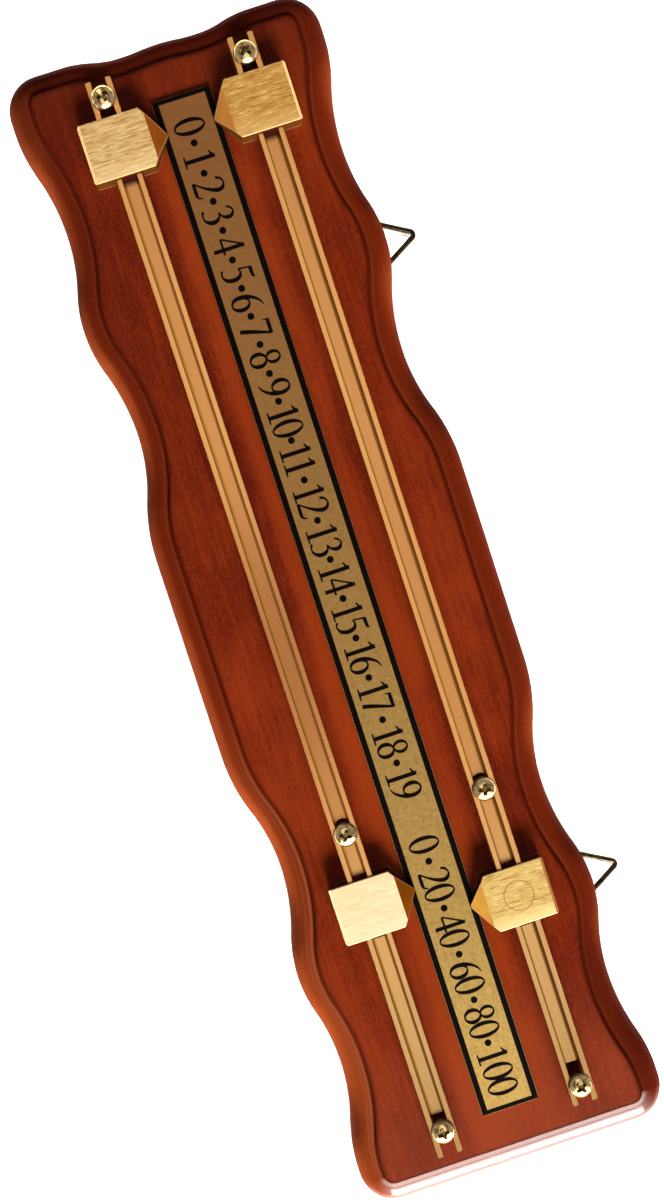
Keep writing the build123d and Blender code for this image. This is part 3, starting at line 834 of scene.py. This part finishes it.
@dataclass
class MouldedBoard:
    """The wooden board with its wavy outline and moulded edge."""

    half_length: float = 200.0
    thickness: float = BOARD_TOP
    ears: tuple[float, float] = (184.0, 54.2)
    necks: tuple[float, float] = (147.0, 48.4)
    bumps: tuple[float, float] = (115.0, 53.2)
    waists: tuple[float, float] = (77.0, 46.9)
    middle: tuple[float, float] = (35.0, 54.3)
    corner: float = 12.0
    end_flat: float = 10.0
    end_hollow: tuple[float, float] = (13.0, 2.6)
    end_rise: float = 0.7
    plain_inset: float = 1.6
    ovolo: float = 6.8
    step_width: float = 1.4
    step_height: float = 0.9
    back_chamfer: float = 0.6
    softening: float = 0.28
    border: float = 2.4
    pitch: float = 1.0
    finish: Finish = field(default_factory=lambda: StainedMahogany("stained_mahogany"))

    def swing(self, crest: Vector, hollow: Vector, share: float, run: Vector, rise: Vector) -> list[Bend]:
        """Return the two tangent arcs from a crest down to a hollow."""
        gap = hollow - crest
        length, drop = gap.dot(run), -gap.dot(rise)
        both = (length**2 + drop**2) / (2 * drop)
        crest_radius = share * both
        turn = math.degrees(math.asin(length / both))
        up = math.degrees(math.atan2(rise.y, rise.x))
        side = -1.0 if run.x * rise.y - run.y * rise.x > 0 else 1.0
        return [
            Bend(crest - rise * crest_radius, crest_radius, up, up + side * turn),
            Bend(hollow + rise * (both - crest_radius), both - crest_radius,
                 up + 180 + side * turn, up + 180, hollow=True),
        ]

    def quarter(self, shaped: bool) -> list[tuple[Vector, Vector]]:
        """Return the outline from the middle of the +Y side to the middle of the +X end.

        Args:
            shaped: Whether the end has its hollow, or is straight and a little further in.

        Returns:
            Points with the directions that point out of the board.
        """
        out, up = Vector((1.0, 0.0)), Vector((0.0, 1.0))
        ear, neck, bump = Vector(self.ears), Vector(self.necks), Vector(self.bumps)
        waist, middle = Vector(self.waists), Vector(self.middle)
        end = self.half_length - (0.0 if shaped else self.plain_inset)
        centre = Vector((end - self.corner, ear.y - self.corner))
        end_crest = centre + out * self.corner - up * self.end_flat
        hollow = Vector((end - self.end_hollow[1], self.end_hollow[0]))
        end_middle = Vector((hollow.x + self.end_rise, 0.0))

        def ahead(bends: list[Bend]) -> list[tuple[Vector, Vector]]:
            return [step for bend in bends for step in bend.walk(self.pitch)]

        def back(bends: list[Bend]) -> list[tuple[Vector, Vector]]:
            return list(reversed(ahead(bends)))

        steps = [
            *[(Vector((middle.x * part / 20, middle.y)), up) for part in range(21)],
            *ahead(self.swing(middle, waist, 0.5, out, up)),
            *back(self.swing(bump, waist, 0.4, -out, up)),
            *ahead(self.swing(bump, neck, 0.4, out, up)),
            *back(self.swing(ear, neck, 0.4, -out, up)),
            *ahead([Bend(centre, self.corner, 90.0, 0.0)]),
        ]
        if shaped:
            steps += ahead(self.swing(end_crest, hollow, 0.5, -up, out))
            steps += back(self.swing(end_middle, hollow, 0.5, up, out))
        else:
            steps += [(Vector((end, centre.y * (1 - part / 20))), out) for part in range(1, 21)]
        kept = [steps[0]]
        for step in steps[1:]:
            if (step[0] - kept[-1][0]).length > 0.05:
                kept.append(step)
        return kept

    def outline(self) -> list[tuple[Vector, Vector]]:
        """Return the whole outline, once round, with its shaped end at -X."""
        def turned(steps: list[tuple[Vector, Vector]], x: float, y: float) -> list[tuple[Vector, Vector]]:
            return [(Vector((p.x * x, p.y * y)), Vector((n.x * x, n.y * y))) for p, n in reversed(steps)]

        plain, shaped = self.quarter(False), self.quarter(True)
        right = plain + turned(plain[:-1], 1, -1)
        left = turned(shaped[:-1], -1, 1)
        return right + [(Vector((-p.x, -p.y)), Vector((-n.x, -n.y))) for p, n in shaped[1:]] + left[:-1]

    def section(self) -> list[tuple[float, float]]:
        """Return the edge's section as distances inwards and heights, from the back to the front."""
        shoulder = self.thickness - self.step_height
        soft = self.softening
        width = self.ovolo + self.step_width
        points = [(self.back_chamfer, 0.0), (0.0, self.back_chamfer)]
        for part in range(13):
            angle = math.radians(90 * part / 12)
            points.append((self.ovolo * (1 - math.cos(angle)), shoulder - self.ovolo * (1 - math.sin(angle))))
        points.append((width - 0.12, shoulder))
        points.append((width, shoulder + 0.12))
        for part in range(5):
            angle = math.radians(90 * part / 4)
            points.append((width + soft * (1 - math.cos(angle)), self.thickness - soft * (1 - math.sin(angle))))
        points.append((width + self.border, self.thickness))
        return points

    def build(self) -> None:
        """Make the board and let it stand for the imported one."""
        shape = bmesh.new()
        walk = self.outline()
        rings = [
            [(spot.x - out.x * inwards, spot.y - out.y * inwards, height) for spot, out in walk]
            for inwards, height in self.section()
        ]
        loft(shape, rings)
        mesh = close_mesh(shape, "moulded_board")
        depths = mesh.attributes.new("inwards", "FLOAT", "POINT")
        for number in range(len(mesh.vertices)):
            depths.data[number].value = self.section()[number // len(walk)][0]
        piece = piece_from("moulded_board", mesh, self.finish)
        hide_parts("board")
        log.info("moulded board: %d points round", len(walk))


# The print on the plate


Stroke = tuple[tuple[float, float, float], ...]


def ellipse_stroke(x: float, y: float, half_width: float, half_height: float, thick: float, thin: float) -> Stroke:
    """Return a closed stroke, thick at its sides and thin at its top and bottom."""
    found = []
    for part in range(24):
        angle = math.radians(15 * part)
        swell = abs(math.cos(angle)) ** 1.5
        found.append((x + half_width * math.cos(angle), y + half_height * math.sin(angle),
                      thin + (thick - thin) * swell))
    return tuple(found)


@dataclass
class Numeral:
    """One digit as pen strokes: closed loops and open strokes of (x, y, width), in hundredths of its height."""

    loops: tuple[Stroke, ...] = ()
    strokes: tuple[Stroke, ...] = ()
    middle: float = 25.0

    @staticmethod
    def smoothed(stroke: Stroke, closed: bool) -> list[Vector]:
        """Return a finer stroke through the same points."""
        points = [Vector(point) for point in stroke]
        if len(points) == 2:
            return points
        count = len(points)
        found = []
        spans = count if closed else count - 1
        for number in range(spans):
            if closed:
                a, b, c, d = (points[(number + shift) % count] for shift in (-1, 0, 1, 2))
            else:
                a, b = points[max(number - 1, 0)], points[number]
                c, d = points[number + 1], points[min(number + 2, count - 1)]
            steps = 2 if closed else 6
            for step in range(steps):
                t = step / steps
                found.append(0.5 * (2 * b + (c - a) * t + (2 * a - 5 * b + 4 * c - d) * t**2
                                    + (3 * b - a - 3 * c + d) * t**3))
        if not closed:
            found.append(points[-1])
        return found

    def ribbon(self, stroke: Stroke, closed: bool, scale: float, boldness: float, heights: tuple[float, float]
               ) -> bpy.types.Mesh:
        """Return one stroke as a thin solid between two heights, its pen widened by the boldness."""
        low, high = heights
        path = self.smoothed(stroke, closed)
        count = len(path)
        left, right = [], []
        for number, point in enumerate(path):
            before = path[number - 1] if closed or number else path[number]
            after = path[(number + 1) % count] if closed or number < count - 1 else path[number]
            run = Vector((after.x - before.x, after.y - before.y)).normalized()
            side = Vector((-run.y, run.x)) * (point.z / 2 * boldness)
            left.append(((point.x + side.x - self.middle) * scale, (point.y + side.y) * scale))
            right.append(((point.x - side.x - self.middle) * scale, (point.y - side.y) * scale))
        shape = bmesh.new()
        rows = [[shape.verts.new((x * MM, y * MM, z * MM)) for x, y in line]
                for line in (left, right) for z in (high, low)]
        left_top, left_low, right_top, right_low = rows
        for here in range(count if closed else count - 1):
            after = (here + 1) % count
            for one, two in ((left_top, left_low), (left_low, right_low), (right_low, right_top),
                             (right_top, left_top)):
                shape.faces.new((one[here], one[after], two[after], two[here]))
        if not closed:
            for end in (0, -1):
                shape.faces.new((left_top[end], left_low[end], right_low[end], right_top[end]))
        return close_mesh(shape, "stroke")

    def mesh(self, height: float, boldness: float, ink: float) -> bpy.types.Mesh:
        """Return the digit as one thin solid, centred on X with its foot at Y = 0."""
        scale = height / 100
        ribbons = [self.ribbon(stroke, True, scale, boldness, (0.0, ink)) for stroke in self.loops]
        ribbons += [self.ribbon(stroke, False, scale, boldness, (0.0, ink)) for stroke in self.strokes]
        return combined(ribbons[0], ribbons[1:], "UNION") if len(ribbons) > 1 else ribbons[0]


NUMERALS = (
    Numeral(loops=(ellipse_stroke(25, 50, 20.5, 48, 10.5, 4.0),)),
    Numeral(
        strokes=(
            ((27, 98, 10.5), (27, 1.5, 10.5)),
            ((28, 96, 8), (20, 88, 6), (8, 82, 4)),
            ((8, 2, 4), (27, 2.6, 5.2), (46, 2, 4)),
        ),
        middle=26.0,
    ),
    Numeral(
        strokes=(
            ((4, 76, 6.5), (9, 89, 6), (23, 97, 4.6), (38, 90, 9), (42.5, 74, 11), (35, 51, 8.5), (20, 26, 5),
             (4, 5, 4.2)),
            ((3, 4.5, 8), (24, 4.6, 9.2), (42, 5, 8.6), (50, 9, 5), (54, 21, 2.6)),
        ),
        middle=27.0,
    ),
    Numeral(
        strokes=(
            ((5, 80, 5), (11, 92, 5), (23, 97.6, 4.6), (36, 89, 9.5), (37.5, 74, 9.5), (30, 60, 5.5), (17, 53, 3.6)),
            ((17, 53, 3.6), (31, 51, 5.5), (41, 38, 10.5), (41, 20, 10.5), (30, 5, 6), (17, 2, 4.4), (6, 4, 6),
             (4, 9, 8)),
        ),
        middle=24.0,
    ),
    Numeral(
        strokes=(
            ((37, 99, 9.5), (37, 0, 10)),
            ((37, 98, 5), (20, 66, 4.4), (3, 33, 4.4)),
            ((2, 31, 6), (28, 31, 6), (53, 31, 6)),
        ),
        middle=27.0,
    ),
    Numeral(
        strokes=(
            ((13, 93.5, 10), (28, 93.5, 9.5), (40, 95, 8), (46, 100, 3)),
            ((13.5, 97, 4.4), (11, 76, 4.2), (9, 56, 4.2)),
            ((9, 55.5, 4), (21, 60, 5.6), (34, 53, 9.6), (39.5, 34, 11), (35, 13, 9.6), (21, 2, 5), (8, 2.6, 5),
             (3, 7, 7)),
        ),
        middle=24.0,
    ),
    Numeral(
        loops=(ellipse_stroke(25, 30.5, 19.5, 28, 10.5, 4.4),),
        strokes=(((5.5, 30, 10), (7.5, 52, 10.5), (15.5, 73, 8), (29, 90, 5.4), (45, 98.5, 2.6)),),
    ),
    Numeral(
        strokes=(
            ((3, 94, 10), (25, 94, 10), (49, 94.5, 9)),
            ((3.5, 97, 4), (3, 88, 3.4), (1.5, 80, 2.6)),
            ((47, 94, 6), (38, 66, 8), (27, 32, 10), (19, 0, 10.5)),
        ),
        middle=26.0,
    ),
    Numeral(
        loops=(ellipse_stroke(25, 76, 16.5, 21.6, 8.6, 4.2), ellipse_stroke(25, 27.5, 19.5, 25.4, 10.4, 4.4)),
    ),
    Numeral(
        loops=(ellipse_stroke(25, 69.5, 19.5, 28, 10.5, 4.4),),
        strokes=(((44.5, 70, 10), (42.5, 48, 10.5), (34.5, 27, 8), (21, 10, 5.4), (5, 1.5, 2.6)),),
    ),
)


@dataclass
class ScalePrint:
    """The plate's border, numbers and dots, printed in black."""

    half_length: float = 177.2
    middle_y: float = 2.1
    half_width: float = 10.0
    edge: float = 0.1
    side_border: float = 2.1
    end_border: float = 1.5
    ink: float = 0.04
    boldness: float = 1.2
    height: float = 10.5
    foot_y: float = -3.55
    dot_radius: float = 1.15
    dot_y: float = 1.5
    spread: float = 4.9
    units_at: tuple[float, ...] = (
        -166.3, -155.3, -145.6, -136.1, -125.7, -115.9, -106.2, -96.7, -86.8, -76.7,
        -65.2, -52.0, -37.8, -23.9, -10.6, 3.4, 17.1, 31.1, 46.8, 61.6,
    )
    twenties_at: tuple[float, ...] = (83.2, 97.6, 113.8, 130.5, 146.4, 164.1)
    finish: Finish = field(default_factory=lambda: PrintInk("print_ink"))

    def border(self) -> bpy.types.Mesh:
        """Return the black frame round the plate's gold field."""
        shape = bmesh.new()

        def ring(inset_x: float, inset_y: float, height: float) -> list[Point]:
            x, y = self.half_length - inset_x, self.half_width - inset_y
            return [(a * x, self.middle_y + b * y, height) for a, b in ((1, 1), (-1, 1), (-1, -1), (1, -1))]

        low, high = PLATE_TOP, PLATE_TOP + self.ink
        outer = [ring(self.edge, self.edge, height) for height in (low, high)]
        inner = [ring(self.end_border, self.side_border, height) for height in (high, low)]
        loft(shape, [*outer, *inner, outer[0]], capped=False)
        return close_mesh(shape, "scale_border")

    def row(self, labels: Sequence[str], places: Sequence[float], spread: float) -> tuple[list, list]:
        """Return the stations of a row's digits and of the dots between its numbers."""
        digits, dots = [], []
        edges = []
        for label, place in zip(labels, places):
            start = place - spread * (len(label) - 1) / 2
            half = 2.5 + spread * (len(label) - 1) / 2
            edges.append((place - half, place + half))
            for number, letter in enumerate(label):
                spot = (start + spread * number, self.foot_y, PLATE_TOP)
                digits.append(Station(spot, which=int(letter)))
        for (_, after), (before, _) in zip(edges, edges[1:]):
            dots.append(Station(((after + before) / 2, self.dot_y, PLATE_TOP)))
        return digits, dots

    def dot(self) -> bpy.types.Mesh:
        """Return one round dot."""
        shape = bmesh.new()
        ring = [(math.cos(math.radians(15 * part)) * self.dot_radius,
                 math.sin(math.radians(15 * part)) * self.dot_radius) for part in range(24)]
        loft(shape, [[(x, y, 0.0) for x, y in ring], [(x, y, self.ink) for x, y in ring]])
        return close_mesh(shape, "dot")

    def build(self) -> None:
        """Print the border, the numbers and the dots."""
        layout = Layout("printed_marks")
        units, unit_dots = self.row([str(number) for number in range(20)], self.units_at, self.spread)
        labels = [str(20 * number) for number in range(6)]
        twenties, twenty_dots = self.row(labels, self.twenties_at, self.spread + 0.6)
        masters = [numeral.mesh(self.height, self.boldness, self.ink) for numeral in NUMERALS]
        numbers = layout.lay(masters, units + twenties, self.finish)
        dots = layout.lay([self.dot()], unit_dots + twenty_dots, self.finish)
        for name, mesh in (("scale_border", self.border()), ("scale_numbers", numbers), ("scale_dots", dots)):
            piece_from(name, mesh, self.finish)
        log.info("scale print: %d digits and %d dots", len(units + twenties), len(unit_dots + twenty_dots))


# Screws


@dataclass(frozen=True)
class CrossHeadScrew:
    """A pan head with a cross recess on a plain shank, its seat at height 0."""

    head_radius: float
    head_height: float
    rim: float
    recess_span: float
    shank_radius: float
    length: float
    recess_arm: float = 1.3
    recess_depth: float = 1.8

    def head(self) -> bpy.types.Mesh:
        """Return the turned head and shank."""
        profile = [(0.05, -self.length), (self.shank_radius, 3.0 - self.length), (self.shank_radius, 0.0),
                   (self.head_radius - 0.12, 0.0), (self.head_radius, 0.12), (self.head_radius, self.rim)]
        for part in range(1, 15):
            angle = math.radians(6.2 * part)
            profile.append((self.head_radius * math.cos(angle),
                            self.rim + (self.head_height - self.rim) * math.sin(angle)))
        shape = bmesh.new()
        rings = [[(radius * math.cos(math.radians(7.5 * part)), radius * math.sin(math.radians(7.5 * part)), height)
                  for part in range(48)] for radius, height in profile]
        loft(shape, rings)
        return close_mesh(shape, "screw_head")

    def cross(self) -> list[bpy.types.Mesh]:
        """Return the four-armed driver's form that is cut from the head."""
        tools = []
        top = self.head_height + 0.3
        floor = self.head_height - self.recess_depth
        for turn in (0, 90):
            shape = bmesh.new()
            rings = []
            for half_span, half_arm, height in (
                (self.recess_span * 0.16, self.recess_arm * 0.34, floor),
                (self.recess_span * 0.42, self.recess_arm * 0.46, floor + 0.75 * self.recess_depth),
                (self.recess_span * 0.54, self.recess_arm * 0.58, top),
            ):
                corners = [(half_span, half_arm), (-half_span, half_arm), (-half_span, -half_arm),
                           (half_span, -half_arm)]
                rings.append([(x, y, height) if turn == 0 else (-y, x, height) for x, y in corners])
            loft(shape, rings)
            tools.append(close_mesh(shape, "driver_arm"))
        cone = bmesh.new()
        rings = []
        for radius, height in ((0.25, floor - 0.25), (self.recess_span * 0.22, floor + 0.8),
                               (self.recess_span * 0.27, top)):
            rings.append([(radius * math.cos(math.radians(45 * part + 22.5)),
                           radius * math.sin(math.radians(45 * part + 22.5)), height) for part in range(8)])
        loft(cone, rings)
        tools.append(close_mesh(cone, "driver_tip"))
        return tools

    def mesh(self) -> bpy.types.Mesh:
        """Return the screw with its recess cut."""
        return combined(self.head(), self.cross(), "DIFFERENCE")


@dataclass
class Screws:
    """The six rail screws and the two strap screws."""

    seat: float = BOARD_TOP + 4.8
    stations_x: tuple[float, float, float] = (-181.7, 70.6, 175.4)
    names: tuple[str, str, str] = ("left", "middle", "right")
    turns: tuple[float, ...] = (20.0, 62.0, 8.0, 40.0, 75.0, 28.0)
    hanger_x: float = 115.0
    hanger_y: float = 41.9
    hanger_seat: float = -1.3
    rail_screw: CrossHeadScrew = CrossHeadScrew(4.0, 2.9, 0.5, 4.8, 2.1, 16.0)
    strap_screw: CrossHeadScrew = CrossHeadScrew(3.4, 2.2, 0.4, 3.8, 1.75, 10.0)
    finish: Finish = field(default_factory=lambda: PlatedSteel("passivated_steel"))
    dark_finish: Finish = field(default_factory=lambda: PlatedSteel(
        "bronzed_screw_steel", body=shade(150, 138, 112), worn=shade(84, 72, 50), roughness=0.24))
    recess_finish: Finish = field(default_factory=lambda: PlatedSteel(
        "shaded_recess_steel", body=shade(160, 134, 78), worn=shade(70, 50, 24), roughness=0.2))

    def darken_recesses(self, piece: bpy.types.Object, stations: Sequence[Station]) -> None:
        """Paint shade into the recesses: the faces that lie below a head's dome get a darker finish."""
        screw = self.rail_screw
        # painted shade: the cross recesses get a darker steel
        piece.data.materials.append(self.recess_finish.material())
        for face in piece.data.polygons:
            spot = face.center / MM
            away = min((spot.xy - Vector(station.place).xy).length for station in stations)
            share = min(away / screw.head_radius, 1.0)
            dome = screw.rim + (screw.head_height - screw.rim) * math.sqrt(1 - share**2)
            if share < 0.75 and self.seat < spot.z < self.seat + dome - 0.08:
                face.material_index = 1

    def build(self) -> None:
        """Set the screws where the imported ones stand."""
        layout = Layout("screw_places")
        stations, names = [], []
        turns = iter(self.turns)
        for rail, y in RAIL_Y.items():
            for name, x in zip(self.names, self.stations_x):
                stations.append(Station((x, y, self.seat), (0.0, 0.0, next(turns))))
                names.append(f"{rail}_rail_screw_{name}")
        mesh = layout.lay([self.rail_screw.mesh()], stations, self.finish)
        piece = piece_from("rail_screws", mesh, self.finish)
        self.darken_recesses(piece, stations)
        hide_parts(*names)
        backs = [Station((x, self.hanger_y, self.hanger_seat), (180.0, 0.0, 30.0))
                 for x in (-self.hanger_x, self.hanger_x)]
        mesh = layout.lay([self.strap_screw.mesh()], backs, self.dark_finish)
        piece = piece_from("strap_screws", mesh, self.dark_finish)
        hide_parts("left_hanger_screw", "right_hanger_screw")
        log.info("screws: %d in the rails and %d in the straps", len(stations), len(backs))


# Dressed solids


@dataclass
class Metalwork:
    """The plate, rails, pointers, runners and hangers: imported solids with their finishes."""

    plate: Finish = PlateBrass("plate_gold", dark=shade(160, 118, 60), body=shade(193, 157, 87),
                               light=shade(212, 175, 106), wall=shade(150, 110, 70), edge=shade(200, 170, 120),
                               streaks=Streaks.NONE, contrast=0.7, metallic=0.5, groove=0.001)
    rail: Finish = RailBrass("drawn_brass", dark=shade(162, 96, 56), body=shade(242, 188, 118),
                             light=shade(250, 202, 130), wall=shade(170, 108, 54), edge=shade(250, 190, 136),
                             streaks=Streaks.ALONG, contrast=0.3, roughness=0.30, metallic=0.9)
    steel: Finish = PlatedSteel("dark_bronzed_steel", body=shade(104, 88, 66), worn=shade(36, 28, 20), roughness=0.22)
    nylon: Finish = MouldedNylon("runner_nylon")
    rivet_radius: float = 5.0

    def pointer_finish(self, name: str) -> Finish:
        """Return the brushed brass of one pointer."""
        x, y = POINTER_X[name], RAIL_Y[name.split("_")[0]]
        # painted light and shade: the four pointers are one brass; each gets its own colours for how the light falls
        # on it
        if name == "lower_twenties":
            return PointerBrass(
                "brushed_brass_lit_pale", dark=shade(224, 190, 142), body=shade(240, 206, 160),
                light=shade(250, 228, 188), slope=shade(150, 78, 4), bevel=shade(255, 216, 158),
                wall=shade(60, 24, 10), edge=shade(236, 190, 142), contrast=0.9, place=(x, y),
                rim_share=0.12)
        if name == "upper_twenties":
            return PointerBrass(
                "brushed_brass_lit_yellow", dark=shade(150, 104, 40), body=shade(203, 169, 98),
                light=shade(236, 208, 142), slope=shade(248, 180, 74), bevel=shade(146, 94, 40),
                wall=shade(70, 30, 12), edge=shade(236, 190, 136), contrast=0.85, place=(x, y), nose=-1.0,
                mark_radius=self.rivet_radius, bright_end=0.9)
        if name == "upper_units":
            return PointerBrass(
                "brushed_brass_lit_orange", dark=shade(152, 96, 32), body=shade(194, 143, 70),
                light=shade(242, 200, 128), slope=shade(206, 134, 62), place=(x, y), nose=-1.0,
                bright_end=0.4)
        return PointerBrass(
            "brushed_brass", body=shade(212, 173, 110), light=shade(248, 214, 154), slope=shade(164, 84, 20),
            place=(x, y), bright_end=0.6)

    def dress(self) -> None:
        """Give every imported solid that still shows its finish."""
        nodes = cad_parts
        self.plate.dress(nodes["scale_plate"])
        self.rail.dress(nodes["lower_rail"], nodes["upper_rail"])
        for name in POINTER_X:
            self.pointer_finish(name).dress(nodes[f"{name}_pointer"], nodes[f"{name}_rivet"])
            self.nylon.dress(nodes[f"{name}_runner"])
        for side in ("left", "right"):
            self.steel.dress(nodes[f"{side}_hanger_strap"], nodes[f"{side}_hanger_ring"])
        log.info("metalwork: plate, rails, %d pointers and the hangers", len(POINTER_X))


# The studio


@dataclass(frozen=True)
class Softbox:
    """A soft light: where it stands and what it looks at, in metres, its size and its power."""

    name: str
    place: Point
    size: tuple[float, float]
    power: float
    tint: Colour = (1.0, 1.0, 1.0)
    only_on: tuple[str, ...] = ()
    spares: tuple[str, ...] = ()
    only_mirrored: bool = False
    aim: Point = (0.0, 0.0, 0.01)

    def hang(self) -> None:
        """Make the light, which may reach only some pieces, spare some or be only mirrored in them."""
        lamp = bpy.data.lights.new(self.name, "AREA")
        lamp.shape = "RECTANGLE"
        lamp.size, lamp.size_y = self.size
        lamp.energy = self.power
        lamp.color = self.tint
        box = bpy.data.objects.new(self.name, lamp)
        box.location = self.place
        box.visible_diffuse = not self.only_mirrored
        if self.only_on or self.spares:
            chosen = bpy.data.collections.new(f"{self.name}_chosen")
            for name in self.only_on or self.spares:
                chosen.objects.link(bpy.data.objects[name])
            for entry in chosen.collection_objects:
                entry.light_linking.link_state = "EXCLUDE" if self.spares else "INCLUDE"
            box.light_linking.receiver_collection = chosen
        toward = Vector(self.aim) - Vector(self.place)
        box.rotation_euler = toward.to_track_quat("-Z", "Y").to_euler()
        bpy.context.scene.collection.objects.link(box)


@dataclass
class Studio:
    """The camera, the lights, the sky and the floor."""

    eye: Point = (-17.28, -8.2, 404.2)
    target: Point = (-4.26, -2.11, 15.0)
    roll: float = 18.1
    lens: float = 35.1
    floor_half: float = 3.0
    sky: float = 0.30
    lights: tuple[Softbox, ...] = (
        Softbox("window", (3.4, 0.0, 1.6), (2.0, 1.3), 320.0, (1.0, 0.985, 0.96), spares=RAILS),
        Softbox("end_glint", (0.8, 0.0, 0.37), (0.46, 0.70), 36.0, only_on=("moulded_board",),
                only_mirrored=True, aim=(0.0, 0.0, 0.37)),
        Softbox("screw_glint", (0.8, 0.0, 0.62), (1.3, 1.25), 22.0, only_on=("rail_screws",),
                only_mirrored=True, aim=(0.0, 0.0, 0.62)),
        Softbox("step_glint", (0.45, -0.49, 0.91), (0.5, 0.07), 2.6, only_on=("moulded_board",),
                only_mirrored=True, aim=(0.12, -0.05, 0.01)),
        Softbox("overhead", (0.0, 0.0, 1.0), (1.4, 0.8), 3.3,
                only_on=(*RAILS, "rail_screws", *(f"{name}_{part}" for name in POINTER_X
                                                  for part in ("pointer", "rivet")))),
        Softbox("rail_glow", (0.0, 0.0, 1.1), (1.5, 0.9), 1.2, only_on=RAILS),
        Softbox("floor_glow", (0.0, 0.0, 0.9), (1.6, 1.2), 7.0, only_on=("floor",)),
        Softbox("floor_hot_spot", (0.5, 0.0, 0.5), (0.4, 0.4), 8.0, only_on=("floor",), aim=(0.5, 0.0, 0.0)),
        Softbox("floor_far_end", (-0.5, 0.0, 0.5), (0.4, 0.4), 10.0, only_on=("floor",), aim=(-0.3, 0.0, 0.0)),
    )
    floor: Finish = field(default_factory=lambda: PaleFloor("pale_floor"))

    def set_camera(self) -> None:
        """Stand the camera where the photograph was taken from."""
        eye, target = Vector(self.eye) * MM, Vector(self.target) * MM
        ahead = (target - eye).normalized()
        turn = math.radians(self.roll)
        above = Vector((-math.cos(turn), math.sin(turn), 0.0))
        right = ahead.cross(above).normalized()
        above = right.cross(ahead)
        data = bpy.data.cameras.new("camera")
        data.lens = self.lens
        data.clip_start = 0.01
        camera = bpy.data.objects.new("camera", data)
        axes = Matrix((right, above, -ahead)).transposed().to_4x4()
        camera.matrix_world = Matrix.Translation(eye) @ axes
        bpy.context.scene.collection.objects.link(camera)
        bpy.context.scene.camera = camera

    def set_sky(self) -> None:
        """Fill the room with an even soft light."""
        world = bpy.data.worlds.new("soft_room")
        world.use_nodes = True
        world.node_tree.nodes.clear()
        bench = Bench(world.node_tree)
        toward = bench.node("ShaderNodeTexCoord", output="Generated")
        height = bench.node("ShaderNodeSeparateXYZ", {}, {0: toward}, "Z")
        strength = (0.12 + height.between(0.95, 0.55)) * self.sky
        glow = bench.node("ShaderNodeBackground", {}, {"Color": (1.0, 0.985, 0.965), "Strength": strength})
        bench.node("ShaderNodeOutputWorld", {}, {"Surface": glow})
        bpy.context.scene.world = world
        bpy.context.scene.view_settings.view_transform = "Standard"

    def lay_floor(self) -> None:
        """Lay the floor under the lowest point of the part."""
        shape = bmesh.new()
        height = cad_box[0].z - 0.00005
        half = self.floor_half
        corners = [shape.verts.new((x, y, height)) for x, y in ((-half, -half), (half, -half), (half, half),
                                                                (-half, half))]
        shape.faces.new(corners)
        mesh = bpy.data.meshes.new("floor")
        shape.to_mesh(mesh)
        shape.free()
        floor = bpy.data.objects.new("floor", mesh)
        bpy.context.scene.collection.objects.link(floor)
        self.floor.dress(floor)

    def build(self) -> None:
        """Make the whole studio."""
        self.set_camera()
        self.set_sky()
        self.lay_floor()
        for light in self.lights:
            light.hang()
        log.info("studio: %d lights", len(self.lights))


def main() -> None:
    """Build every piece in order."""
    logging.basicConfig(level=logging.INFO, format="%(name)s: %(message)s")
    MouldedBoard().build()
    ScalePrint().build()
    Screws().build()
    Metalwork().dress()
    Studio().build()


if __name__ == "__main__":
    main()
